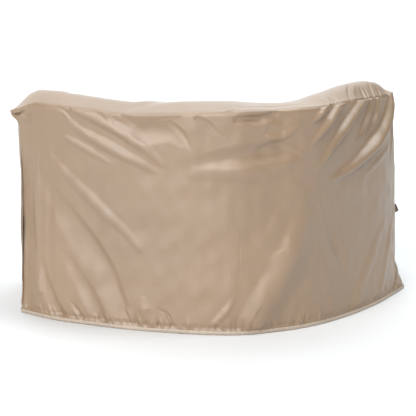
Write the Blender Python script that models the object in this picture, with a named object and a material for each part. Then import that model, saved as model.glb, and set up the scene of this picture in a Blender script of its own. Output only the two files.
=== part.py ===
"""Fitted outdoor cover of a bow-backed two-seat sofa, hanging as the sofa under it shapes it.

Metres, +Z up, floor at z = 0. The bowed back is at +Y, the plain front at -Y.
The walls are followed anticlockwise from above: back, handle end, front, plain end.
"""

import math

import bpy
import numpy as np

# Cloth and making.
CLOTH = 0.002  # thickness of the cloth
EDGE_PULL = 0.0002  # each panel stops this far short of its seam
SHARPEST_FACING = 0.6  # limits how much deeper the inner face goes under a sharp turn
BINDING_HEIGHT = 0.014
BINDING_LIFT = 0.001  # the binding stays this far above the floor
BINDING_GAP = 0.0003  # between the wall and the binding round it
BINDING_DEPTH = 0.004
BINDING_TAPER = 0.6  # share of that depth left at its two edges
FOOT_HEIGHT = 0.017  # the walls are upright below this height, behind the binding

# The middle of the whole cover in the tables' plan, which goes to x = 0, y = 0.
MIDDLE = (0.0142, 0.0033)

# Meshing.
BACK_COLUMNS = 72
END_COLUMNS = 10
WALL_ROWS = 24  # an even number, from the rim to the foot
ROW_CROWDING = 1.15  # over 1 sets more of the rows near the rim

# Walls, as columns of hem x, hem y, rim x, rim y and rim height.
BACK = (
    (0.812, -0.032, 0.797, -0.020, 0.834),
    (0.700, 0.100, 0.698, 0.098, 0.836),
    (0.560, 0.210, 0.560, 0.210, 0.828),
    (0.420, 0.305, 0.420, 0.305, 0.819),
    (0.280, 0.378, 0.280, 0.378, 0.827),
    (0.155, 0.432, 0.155, 0.432, 0.832),
    (0.045, 0.461, 0.045, 0.461, 0.838),
    (-0.080, 0.458, -0.080, 0.460, 0.840),
    (-0.190, 0.440, -0.186, 0.448, 0.840),
    (-0.250, 0.422, -0.250, 0.424, 0.839),
    (-0.385, 0.357, -0.372, 0.340, 0.840),
    (-0.535, 0.257, -0.515, 0.232, 0.840),
    (-0.617, 0.191, -0.592, 0.168, 0.838),
    (-0.690, 0.118, -0.658, 0.098, 0.834),
    (-0.748, 0.038, -0.712, 0.030, 0.829),
)
HANDLE_END = (
    BACK[-1],
    (-0.752, -0.080, -0.722, -0.080, 0.800),
    (-0.757, -0.220, -0.738, -0.215, 0.725),
    (-0.760, -0.350, -0.745, -0.345, 0.655),
    (-0.762, -0.465, -0.750, -0.455, 0.625),
)
FRONT = (
    HANDLE_END[-1],
    (-0.400, -0.460, -0.395, -0.450, 0.612),
    (0.000, -0.455, 0.000, -0.447, 0.602),
    (0.400, -0.460, 0.395, -0.450, 0.610),
    (0.764, -0.465, 0.752, -0.455, 0.622),
)
PLAIN_END = (
    FRONT[-1],
    (0.772, -0.350, 0.762, -0.345, 0.660),
    (0.783, -0.220, 0.775, -0.218, 0.735),
    (0.793, -0.100, 0.787, -0.100, 0.808),
    BACK[0],
)
DRAWN_IN = {  # how far each wall draws in at half height, at its start and its end
    "back_wall": (0.014, -0.003),
    "handle_end_panel": (-0.003, 0.004),
    "front_wall": (0.004, 0.004),
    "plain_end_panel": (0.004, 0.012),
}

# Top: heights on lines from the back rim to the front rim. Each row is the line's share of the
# way along the back rim, then its heights at four shares of the way to the front.
TOP_SHARES = (0.14, 0.34, 0.62, 0.86)
TOP_LINES = (
    (0.04, (0.866, 0.832, 0.732, 0.664)),
    (0.10, (0.878, 0.824, 0.712, 0.650)),
    (0.20, (0.864, 0.792, 0.680, 0.624)),
    (0.32, (0.853, 0.770, 0.655, 0.608)),
    (0.46, (0.859, 0.763, 0.644, 0.602)),
    (0.60, (0.850, 0.762, 0.642, 0.602)),
    (0.70, (0.874, 0.778, 0.654, 0.606)),
    (0.86, (0.895, 0.820, 0.700, 0.640)),
    (0.95, (0.876, 0.826, 0.728, 0.662)),
)

# Folds, as columns of start and end across and up the sheet, bend, half width at the start and
# the end, and rise at the start and the end. A trough has a negative rise. A wall is measured
# along its hem and up from the floor, and the top by its x and y.
FOLDS = {
    "back_wall": (
        (0.27, 0.82, 0.62, 0.63, 0.000, 0.034, 0.030, -0.014, -0.005),
        (0.24, 0.79, 0.54, 0.63, -0.005, 0.036, 0.030, 0.014, 0.006),
        (0.38, 0.82, 0.62, 0.68, 0.000, 0.038, 0.032, 0.010, 0.004),
        (0.29, 0.73, 0.57, 0.60, -0.025, 0.036, 0.030, -0.011, -0.004),
        (0.14, 0.50, 0.45, 0.03, -0.020, 0.048, 0.042, 0.013, 0.010),
        (0.18, 0.51, 0.46, 0.12, 0.015, 0.036, 0.034, -0.011, -0.006),
        (0.27, 0.50, 0.52, 0.31, 0.000, 0.036, 0.034, -0.007, -0.003),
        (0.10, 0.48, 0.20, 0.02, -0.025, 0.040, 0.036, -0.012, -0.009),
        (0.18, 0.25, 0.38, 0.02, -0.010, 0.034, 0.034, -0.007, -0.009),
        (0.45, 0.81, 0.64, 0.80, -0.045, 0.040, 0.036, -0.013, -0.010),
        (0.74, 0.81, 1.12, 0.68, -0.045, 0.044, 0.036, -0.013, -0.010),
        (0.78, 0.63, 1.12, 0.67, -0.030, 0.040, 0.034, 0.010, 0.014),
        (1.13, 0.84, 1.17, 0.02, 0.000, 0.070, 0.080, 0.014, 0.006),
        (0.74, 0.80, 0.75, 0.06, 0.000, 0.080, 0.080, 0.006, 0.004),
        (1.49, 0.83, 1.24, 0.63, 0.000, 0.036, 0.030, 0.016, 0.007),
        (1.38, 0.82, 1.22, 0.70, 0.000, 0.036, 0.030, -0.010, -0.006),
        (1.61, 0.82, 1.50, 0.66, 0.000, 0.034, 0.034, 0.008, 0.003),
        (1.76, 0.80, 1.27, 0.55, 0.055, 0.038, 0.034, 0.020, 0.009),
        (1.15, 0.45, 0.92, 0.02, 0.020, 0.048, 0.040, 0.015, 0.012),
        (1.20, 0.40, 1.00, 0.02, 0.020, 0.042, 0.036, -0.011, -0.010),
        (1.29, 0.43, 1.41, 0.19, -0.010, 0.040, 0.036, 0.005, 0.003),
        (1.65, 0.33, 1.45, 0.03, 0.010, 0.036, 0.034, 0.008, 0.010),
        (1.80, 0.38, 1.64, 0.02, 0.015, 0.034, 0.034, 0.007, 0.010),
    ),
    "handle_end_panel": (
        (0.10, 0.80, 0.24, 0.44, 0.010, 0.050, 0.040, 0.010, 0.004),
        (0.30, 0.66, 0.36, 0.20, -0.010, 0.050, 0.050, -0.008, -0.005),
        (0.44, 0.60, 0.40, 0.04, 0.010, 0.050, 0.050, 0.009, 0.006),
    ),
    "front_wall": (
        (0.10, 0.58, 0.34, 0.22, -0.020, 0.080, 0.070, 0.012, 0.005),
        (0.52, 0.57, 0.44, 0.04, 0.010, 0.090, 0.080, -0.009, -0.008),
        (0.76, 0.30, 0.70, 0.02, 0.000, 0.090, 0.080, 0.008, 0.010),
        (1.06, 0.56, 1.12, 0.08, -0.015, 0.090, 0.080, -0.008, -0.009),
        (1.44, 0.58, 1.24, 0.18, 0.020, 0.080, 0.070, 0.012, 0.004),
    ),
    "plain_end_panel": (
        (0.08, 0.58, 0.12, 0.06, 0.010, 0.050, 0.050, 0.009, 0.006),
        (0.22, 0.68, 0.18, 0.22, -0.010, 0.050, 0.050, -0.009, -0.005),
        (0.42, 0.74, 0.38, 0.44, 0.005, 0.045, 0.040, 0.010, 0.004),
    ),
    "top_panel": (
        (0.52, -0.02, 0.30, -0.36, 0.020, 0.070, 0.060, -0.014, -0.006),
        (0.24, 0.12, 0.16, -0.24, -0.015, 0.070, 0.060, 0.010, 0.004),
        (-0.06, 0.18, -0.04, -0.20, 0.010, 0.070, 0.060, -0.010, -0.004),
        (-0.30, 0.06, -0.22, -0.34, 0.015, 0.070, 0.060, 0.012, 0.004),
        (-0.50, -0.04, -0.32, -0.38, -0.020, 0.070, 0.060, -0.014, -0.006),
    ),
}

# Corners drawn out of shape: the place, its shift, and how far the pull is felt.
PULLED_CORNERS = (
    ("empty ear", (0.797, -0.020, 0.834), (0.032, -0.004, -0.026), 0.095),
    ("flared hem", (-0.748, 0.038, 0.000), (-0.050, -0.030, 0.000), 0.130),
)

# Grab handle, a loop of webbing on the handle end.
HANDLE_START = 0.020  # from the back corner to the first sewn patch, along the wall
HANDLE_SPAN = 0.190
HANDLE_PATCH = 0.022  # length of each sewn patch
HANDLE_WIDTH = 0.025
HANDLE_THICKNESS = 0.002
HANDLE_HEIGHT = 0.334
HANDLE_BULGE = 0.048
HANDLE_BOW = 1.5  # over 1 keeps it flatter beside the sewn patches
HANDLE_LEAN = 0.010  # its lower edge hangs out this much more than its upper one
HANDLE_STEPS = 30
HANDLE_GAP = 0.0005

# Finishes, as colour and roughness.
WOVEN_CLOTH = ((0.56, 0.47, 0.38, 1.0), 0.45)
GATHERED_TAPE = ((0.64, 0.56, 0.48, 1.0), 0.5)
DARK_WEBBING = ((0.13, 0.10, 0.07, 1.0), 0.7)


def clear_scene():
    for item in list(bpy.data.objects):
        bpy.data.objects.remove(item, do_unlink=True)


def material(name, colour, roughness):
    made = bpy.data.materials.new(name)
    made.use_nodes = True
    shader = made.node_tree.nodes["Principled BSDF"]
    shader.inputs["Base Color"].default_value = colour
    shader.inputs["Roughness"].default_value = roughness
    shader.inputs["Metallic"].default_value = 0.0
    return made


def unit(vectors):
    return vectors / np.maximum(np.linalg.norm(vectors, axis=-1, keepdims=True), 1e-9)


def through(knots, values, places):
    """The values at some places, on a smooth curve through the knots."""
    knots = np.asarray(knots, float)
    values = np.asarray(values, float)
    slopes = np.gradient(values, knots, axis=0)
    left = np.clip(np.searchsorted(knots, places, side="right") - 1, 0, len(knots) - 2)
    width = knots[left + 1] - knots[left]
    share = (places - knots[left]) / width
    if values.ndim == 2:
        share = share[:, None]
        width = width[:, None]
    rise = share * share * (3 - 2 * share)
    leave = share * (1 - share) ** 2 * width
    arrive = share * share * (share - 1) * width
    change = values[left + 1] - values[left]
    return values[left] + change * rise + slopes[left] * leave + slopes[left + 1] * arrive


def side_curves(table, columns):
    """The rim and the hem of one wall, at equal steps along the hem, and the hem's length."""
    table = np.asarray(table)
    steps = np.linalg.norm(np.diff(table[:, :2], axis=0), axis=1)
    knots = np.concatenate([[0], np.cumsum(steps)])
    rows = through(knots, table, np.linspace(0, knots[-1], columns + 1))
    hem = np.column_stack([rows[:, :2], np.zeros(columns + 1)])
    return rows[:, 2:], hem, knots[-1]


def top_sheet(back, front, left, right):
    """Points between four rim curves, then lifted to the heights of TOP_LINES."""
    u = np.linspace(0, 1, len(back))[None, :, None]
    v = np.linspace(0, 1, len(left))[:, None, None]
    across = (1 - v) * back[None] + v * front[None]
    along = (1 - u) * left[:, None] + u * right[:, None]
    corners = (1 - v) * ((1 - u) * back[0] + u * back[-1])
    corners = corners + v * ((1 - u) * front[0] + u * front[-1])
    sheet = across + along - corners
    line_places = [0] + [row[0] for row in TOP_LINES] + [1]
    share_places = (0,) + TOP_SHARES + (1,)
    columns = (np.array(line_places) * (len(back) - 1)).round().astype(int)
    plain = np.array([through(v.ravel(), sheet[:, i, 2], np.array(share_places)) for i in columns])
    lift = np.zeros_like(plain)
    lift[1:-1, 1:-1] = np.array([row[1] for row in TOP_LINES]) - plain[1:-1, 1:-1]
    by_line = through(columns, lift, np.arange(len(back)))
    sheet[:, :, 2] += through(share_places, by_line.T, v.ravel())
    return sheet


def wall_sheet(rim, hem, drawn_in):
    """Points from the rim down to the foot and the hem, drawn in a little at half height."""
    share = np.linspace(0, 1, WALL_ROWS + 1) ** ROW_CROWDING
    share = np.append(share, 1)[:, None, None]
    sheet = (1 - share) * rim[None] + share * hem[None]
    sheet[:-1, :, 2] += share[:-1, :, 0] * FOOT_HEIGHT
    along = np.gradient(hem, axis=0)
    outward = unit(np.column_stack([along[:, 1], -along[:, 0], np.zeros(len(hem))]))
    depth = np.linspace(*drawn_in, len(hem))[None, :, None]
    return sheet - outward[None] * np.sin(math.pi * share) * depth


def fold_lift(folds, across, up):
    """How far the folds raise each point of a sheet that is measured across and up."""
    lift = np.zeros_like(across)
    for start_x, start_y, end_x, end_y, bend, wide, narrow, rise, fall in folds:
        start = np.array([start_x, start_y])
        run = np.array([end_x, end_y]) - start
        length = np.hypot(*run)
        run = run / length
        share = ((across - start_x) * run[0] + (up - start_y) * run[1]) / length
        inside = np.clip(share, 0, 1)
        aside = (up - start_y) * run[0] - (across - start_x) * run[1]
        aside = aside - bend * np.sin(math.pi * inside)
        beyond = (share - inside) * length
        half = wide + (narrow - wide) * inside
        reach = np.clip((aside**2 + beyond**2) / half**2, 0, 1)
        lift += (rise + (fall - rise) * inside) * (1 - reach) ** 2
    return lift


class Skin:
    """One welded outer skin: points shared by the grids of its panels."""

    def __init__(self):
        self.points = np.zeros((0, 3))
        self.grids = {}

    def add(self, name, sheet, shared=()):
        """Adds a sheet as a grid of point numbers. Shared holds (place, numbers) pairs."""
        count = sheet.shape[0] * sheet.shape[1]
        grid = np.arange(len(self.points), len(self.points) + count).reshape(sheet.shape[:2])
        self.points = np.vstack([self.points, sheet.reshape(-1, 3)])
        for place, numbers in shared:
            grid[place] = numbers
        self.grids[name] = grid
        return grid

    def faces(self):
        """Each grid's face normals, scaled by area, beside the numbers of their four corners."""
        for grid in self.grids.values():
            near = self.points[grid]
            diagonal = near[1:, 1:] - near[:-1, :-1]
            other = near[1:, :-1] - near[:-1, 1:]
            face = np.cross(other, diagonal)
            for corner in (grid[:-1, :-1], grid[:-1, 1:], grid[1:, :-1], grid[1:, 1:]):
                yield corner, face

    def normals(self):
        total = np.zeros_like(self.points)
        for corner, face in self.faces():
            np.add.at(total, corner, face)
        return unit(total)

    def inner(self):
        """The points one cloth thickness inside, deeper where the skin turns sharply."""
        normals = self.normals()
        facing = np.ones(len(self.points))
        for corner, face in self.faces():
            np.minimum.at(facing, corner, (unit(face) * normals[corner]).sum(axis=2))
        depth = CLOTH / np.clip(facing, SHARPEST_FACING, 1)
        return self.points - normals * depth[:, None]


def halve_between(points, grid):
    """Sets every second edge point midway between its neighbours, for a grid half as fine."""
    for numbers in (grid[0], grid[-2], grid[-1], grid[:-1, 0], grid[:-1, -1]):
        points[numbers[1::2]] = (points[numbers[:-1:2]] + points[numbers[2::2]]) / 2


def kept_grid(skin, name):
    """A panel's grid of point numbers. The plain front keeps every second row and column."""
    grid = skin.grids[name]
    if name != "front_wall":
        return grid
    rows = list(range(0, WALL_ROWS + 1, 2)) + [WALL_ROWS + 1]
    return grid[rows][:, ::2]


def build_skin():
    skin = Skin()
    sides = {}
    for name, table, columns in (
        ("back_wall", BACK, BACK_COLUMNS),
        ("handle_end_panel", HANDLE_END, END_COLUMNS),
        ("front_wall", FRONT, BACK_COLUMNS),
        ("plain_end_panel", PLAIN_END, END_COLUMNS),
    ):
        sides[name] = side_curves(table, columns)
    rims = {name: side[0] for name, side in sides.items()}
    sheet = top_sheet(
        rims["back_wall"],
        rims["front_wall"][::-1],
        rims["plain_end_panel"][::-1],
        rims["handle_end_panel"],
    )
    top = skin.add("top_panel", sheet[::-1])
    rim_numbers = {
        "back_wall": top[-1],
        "handle_end_panel": top[::-1, -1],
        "front_wall": top[0, ::-1],
        "plain_end_panel": top[:, 0],
    }
    previous = None
    first = None
    for name, (rim, hem, length) in sides.items():
        shared = [((0, slice(None)), rim_numbers[name])]
        if previous is not None:
            shared.append(((slice(None), 0), previous[:, -1]))
        if name == "plain_end_panel":
            shared.append(((slice(None), -1), first[:, 0]))
        previous = skin.add(name, wall_sheet(rim, hem, DRAWN_IN[name]), shared)
        if first is None:
            first = previous
    lift = np.zeros(len(skin.points))
    for name, grid in reversed(skin.grids.items()):
        near = skin.points[grid]
        across = near[:, :, 0]
        up = near[:, :, 1]
        if name != "top_panel":
            up = near[:, :, 2]
            across = np.broadcast_to(np.linspace(0, sides[name][2], grid.shape[1]), grid.shape)
        lift[grid] = fold_lift(FOLDS[name], across, up)
    skin.points += skin.normals() * lift[:, None]
    for _, place, shift, reach in PULLED_CORNERS:
        far = np.linalg.norm(skin.points - np.array(place), axis=1) / reach
        pull = (1 - np.clip(far, 0, 1)) ** 2 * (1 + 2 * np.clip(far, 0, 1))
        skin.points += pull[:, None] * np.array(shift)
    for name in rims:
        foot = skin.grids[name][-2:]
        skin.points[foot[1], :2] = skin.points[foot[0], :2]
        skin.points[foot[0], 2] = FOOT_HEIGHT
        skin.points[foot[1], 2] = 0
    halve_between(skin.points, skin.grids["front_wall"])
    skin.points[:, :2] -= MIDDLE
    return skin


def panel_points(skin, grid, inner, hangs):
    """The outer and inner points of one panel, its edges drawn back from the seams."""
    outer = skin.points[grid]
    under = inner[grid]
    shift = np.zeros_like(outer)
    shift[0] += unit(outer[1] - outer[0])
    shift[:, 0] += unit(outer[:, 1] - outer[:, 0])
    shift[:, -1] += unit(outer[:, -2] - outer[:, -1])
    if hangs:
        under[-1, :, 2] = 0
    else:
        shift[-1] += unit(outer[-2] - outer[-1])
    return outer + shift * EDGE_PULL, under + shift * EDGE_PULL


def add_object(name, points, faces, finish):
    mesh = bpy.data.meshes.new(name)
    mesh.from_pydata([tuple(point) for point in points], [], faces)
    mesh.materials.append(material(name + "_finish", *finish))
    mesh.update()
    made = bpy.data.objects.new(name, mesh)
    bpy.context.collection.objects.link(made)
    return made


def add_panel(name, grid, outer, inner, finish):
    rows, columns = grid.shape
    count = rows * columns
    number = np.arange(count).reshape(rows, columns)
    faces = []
    for j in range(rows - 1):
        for i in range(columns - 1):
            ring = (number[j, i], number[j + 1, i], number[j + 1, i + 1], number[j, i + 1])
            faces.append(ring)
            faces.append(tuple(corner + count for corner in reversed(ring)))
    edge = list(number[0, ::-1]) + list(number[1:, 0]) + list(number[-1, 1:])
    edge += list(number[-2:0:-1, -1])
    place = grid.ravel()
    for here, after in zip(edge, edge[1:] + edge[:1]):
        # Both panels at a seam split its face along the same diagonal.
        if place[here] < place[after]:
            faces += [(after, here, after + count), (here, here + count, after + count)]
        else:
            faces += [(after, here, here + count), (after, here + count, after + count)]
    points = np.vstack([outer.reshape(-1, 3), inner.reshape(-1, 3)])
    return add_object(name, points, faces, finish)


def mitred(line):
    """For each point of a closed plan line, the step outward that clears both its runs by 1."""
    run = unit(np.roll(line, -1, axis=0) - line)[:, :2]
    ahead = np.column_stack([run[:, 1], -run[:, 0]])
    behind = np.roll(ahead, 1, axis=0)
    step = (ahead + behind) / (1 + (ahead * behind).sum(axis=1, keepdims=True))
    return np.column_stack([step, np.zeros(len(step))])


def add_binding(skin, walls, finish):
    """The gathered binding, one ring round the foot of the four walls."""
    low = BINDING_LIFT
    high = BINDING_LIFT + BINDING_HEIGHT
    lines = {low: [], high: []}
    for name in walls:
        grid = kept_grid(skin, name)
        foot = skin.points[grid[-1, :-1]]
        climb = skin.points[grid[-2, :-1]] - foot
        for height, line in lines.items():
            line.append(foot + climb * height / climb[:, 2:])
    low_line = np.vstack(lines[low])
    high_line = np.vstack(lines[high])
    low_out = mitred(low_line)
    high_out = mitred(high_line)
    full = BINDING_GAP + BINDING_DEPTH
    slim = BINDING_GAP + BINDING_DEPTH * BINDING_TAPER
    section = [
        low_line + low_out * BINDING_GAP,
        low_line + low_out * slim,
        (low_line + high_line) / 2 + (low_out + high_out) / 2 * full,
        high_line + high_out * slim,
        high_line + high_out * BINDING_GAP,
    ]
    count = len(low_line)
    faces = []
    for k in range(len(section)):
        after = (k + 1) % len(section)
        for i in range(count):
            ahead = (i + 1) % count
            ring = (k * count + i, k * count + ahead, after * count + ahead, after * count + i)
            faces.append(ring)
    return add_object("hem_binding", np.vstack(section), faces, finish)


def on_wall(points, along, height):
    """The point of a wall's outer face at a share of its length and a height."""
    place = along * (points.shape[1] - 1)
    left = min(int(place), points.shape[1] - 2)
    share = place - left
    ends = []
    for column in (points[:, left], points[:, left + 1]):
        ends.append([np.interp(height, column[::-1, 2], column[::-1, k]) for k in range(3)])
    return np.array(ends[0]) * (1 - share) + np.array(ends[1]) * share


def add_handle(skin, finish):
    """The grab handle: sewn flat at both ends and bowed out between them."""
    wall = skin.points[skin.grids["handle_end_panel"]]
    length = np.linalg.norm(np.diff(wall[-1], axis=0), axis=1).sum()
    places = (HANDLE_START + np.linspace(0, HANDLE_SPAN, HANDLE_STEPS + 1)) / length
    patch = HANDLE_PATCH / HANDLE_SPAN
    free = np.clip((np.linspace(0, 1, HANDLE_STEPS + 1) - patch) / (1 - 2 * patch), 0, 1)
    bow = np.sin(math.pi * free) ** HANDLE_BOW
    edges = []
    for height, bulge in (
        (HANDLE_HEIGHT - HANDLE_WIDTH / 2, HANDLE_BULGE + HANDLE_LEAN / 2),
        (HANDLE_HEIGHT + HANDLE_WIDTH / 2, HANDLE_BULGE - HANDLE_LEAN / 2),
    ):
        line = np.array([on_wall(wall, place, height) for place in places])
        run = np.gradient(line, axis=0)
        outward = unit(np.column_stack([run[:, 1], -run[:, 0], np.zeros(len(run))]))
        inner = line + outward * (HANDLE_GAP + bow * bulge)[:, None]
        run = np.gradient(inner, axis=0)
        outward = unit(np.column_stack([run[:, 1], -run[:, 0], np.zeros(len(run))]))
        edges.append((inner, inner + outward * HANDLE_THICKNESS))
    (low_in, low_out), (high_in, high_out) = edges
    section = [low_in, low_out, high_out, high_in]
    count = HANDLE_STEPS + 1
    faces = [(0, count, 2 * count, 3 * count)]
    faces.append((4 * count - 1, 3 * count - 1, 2 * count - 1, count - 1))
    for k in range(4):
        after = (k + 1) % 4
        for i in range(HANDLE_STEPS):
            ring = (k * count + i, k * count + i + 1, after * count + i + 1, after * count + i)
            faces.append(ring)
    return add_object("grab_handle", np.vstack(section), faces, finish)


def main():
    clear_scene()
    skin = build_skin()
    walls = [name for name in skin.grids if name != "top_panel"]
    inner = skin.inner()
    halve_between(inner, skin.grids["front_wall"])
    for name in skin.grids:
        grid = kept_grid(skin, name)
        outer, under = panel_points(skin, grid, inner, name in walls)
        add_panel(name, grid, outer, under, WOVEN_CLOTH)
    add_binding(skin, walls, GATHERED_TAPE)
    add_handle(skin, DARK_WEBBING)


main()
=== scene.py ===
"""Looks of a fitted outdoor cover of a bow-backed two-seat sofa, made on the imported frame.

Metres, +Z up. The walls are followed anticlockwise from above: back, handle end, front, plain
end. A wall is measured along its hem and up from the floor, and the top by its plan x and y.
"""

import math

import bpy
import numpy as np
from mathutils import Matrix, Vector


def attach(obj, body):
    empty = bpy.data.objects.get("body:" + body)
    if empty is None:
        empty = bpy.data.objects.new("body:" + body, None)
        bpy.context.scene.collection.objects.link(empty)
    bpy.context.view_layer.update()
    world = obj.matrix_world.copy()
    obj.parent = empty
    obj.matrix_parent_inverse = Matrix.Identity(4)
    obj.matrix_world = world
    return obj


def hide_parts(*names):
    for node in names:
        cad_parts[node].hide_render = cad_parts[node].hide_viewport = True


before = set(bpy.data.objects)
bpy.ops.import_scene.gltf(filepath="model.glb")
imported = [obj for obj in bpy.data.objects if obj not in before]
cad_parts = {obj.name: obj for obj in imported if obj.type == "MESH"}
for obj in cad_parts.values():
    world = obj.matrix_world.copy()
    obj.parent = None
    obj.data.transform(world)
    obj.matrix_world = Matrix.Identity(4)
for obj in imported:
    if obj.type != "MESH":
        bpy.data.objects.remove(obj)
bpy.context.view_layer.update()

MIDDLE = (0.0142, 0.0033)  # this place in the tables' plan goes to x = 0, y = 0

# Panels, as columns of skin grid, CAD node, new piece, how it is held, and the size and the area
# of its flat cut.
PANELS = (
    ("top", "top_panel", "top_cloth", "draped", (1.66, 0.97), 1.28),
    ("back", "back_wall", "back_cloth", "hung", (1.95, 0.90), 1.59),
    ("handle_end", "handle_end_panel", "handle_end_cloth", "hung", (0.54, 0.88), 0.366),
    ("front", "front_wall", "front_cloth", "hung", (1.53, 0.63), 0.93),
    ("plain_end", "plain_end_panel", "plain_end_cloth", "hung", (0.50, 0.83), 0.324),
)

# Meshing.
LONG_COLUMNS = 480
END_COLUMNS = 170
WALL_ROWS = 180
ROW_CROWDING = 0.3  # how much closer the rows lie at the rim and at the hem

# Walls, as columns of hem x, hem y, rim x, rim y and rim height.
BACK = (
    (0.812, -0.032, 0.797, -0.020, 0.834),
    (0.700, 0.100, 0.698, 0.098, 0.836),
    (0.560, 0.210, 0.560, 0.210, 0.828),
    (0.420, 0.305, 0.420, 0.305, 0.819),
    (0.280, 0.378, 0.280, 0.378, 0.827),
    (0.155, 0.432, 0.155, 0.432, 0.832),
    (0.045, 0.461, 0.045, 0.461, 0.838),
    (-0.080, 0.458, -0.080, 0.460, 0.840),
    (-0.190, 0.440, -0.186, 0.448, 0.840),
    (-0.250, 0.422, -0.250, 0.424, 0.839),
    (-0.385, 0.357, -0.372, 0.340, 0.840),
    (-0.535, 0.257, -0.515, 0.232, 0.840),
    (-0.617, 0.191, -0.592, 0.168, 0.838),
    (-0.690, 0.118, -0.658, 0.098, 0.834),
    (-0.748, 0.038, -0.712, 0.030, 0.829),
)
HANDLE_END = (
    BACK[-1],
    (-0.752, -0.080, -0.722, -0.080, 0.800),
    (-0.757, -0.220, -0.738, -0.215, 0.725),
    (-0.760, -0.350, -0.745, -0.345, 0.655),
    (-0.762, -0.465, -0.750, -0.455, 0.625),
)
FRONT = (
    HANDLE_END[-1],
    (-0.400, -0.460, -0.395, -0.450, 0.612),
    (0.000, -0.455, 0.000, -0.447, 0.602),
    (0.400, -0.460, 0.395, -0.450, 0.610),
    (0.764, -0.465, 0.752, -0.455, 0.622),
)
PLAIN_END = (
    FRONT[-1],
    (0.772, -0.350, 0.762, -0.345, 0.660),
    (0.783, -0.220, 0.775, -0.218, 0.735),
    (0.793, -0.100, 0.787, -0.100, 0.808),
    BACK[0],
)
WALLS = (  # name, table, columns, and how far it draws in at half height at its two ends
    ("back", BACK, LONG_COLUMNS, (0.014, -0.003)),
    ("handle_end", HANDLE_END, END_COLUMNS, (-0.003, 0.004)),
    ("front", FRONT, LONG_COLUMNS, (0.004, 0.004)),
    ("plain_end", PLAIN_END, END_COLUMNS, (0.004, 0.012)),
)

# Top: heights on lines from the back rim to the front rim. Each row is the line's share of the
# way along the back rim, then its heights at four shares of the way to the front.
TOP_SHARES = (0.14, 0.34, 0.62, 0.86)
TOP_LINES = (
    (0.04, (0.866, 0.832, 0.732, 0.664)),
    (0.10, (0.878, 0.824, 0.712, 0.650)),
    (0.20, (0.864, 0.792, 0.680, 0.624)),
    (0.32, (0.853, 0.770, 0.655, 0.608)),
    (0.46, (0.859, 0.763, 0.644, 0.602)),
    (0.60, (0.850, 0.762, 0.642, 0.602)),
    (0.70, (0.874, 0.778, 0.654, 0.606)),
    (0.86, (0.892, 0.820, 0.700, 0.640)),
    (0.95, (0.862, 0.820, 0.726, 0.662)),
)

# Corners drawn out of shape: the place, its shift, and how far the pull is felt.
PULLED_CORNERS = (
    ("empty ear", (0.797, -0.020, 0.834), (0.032, -0.004, -0.026), 0.095),
    ("flared hem", (-0.748, 0.038, 0.000), (-0.050, -0.030, 0.000), 0.130),
    ("full corner", (-0.712, 0.030, 0.829), (0.020, -0.004, 0.015), 0.085),
)

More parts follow.
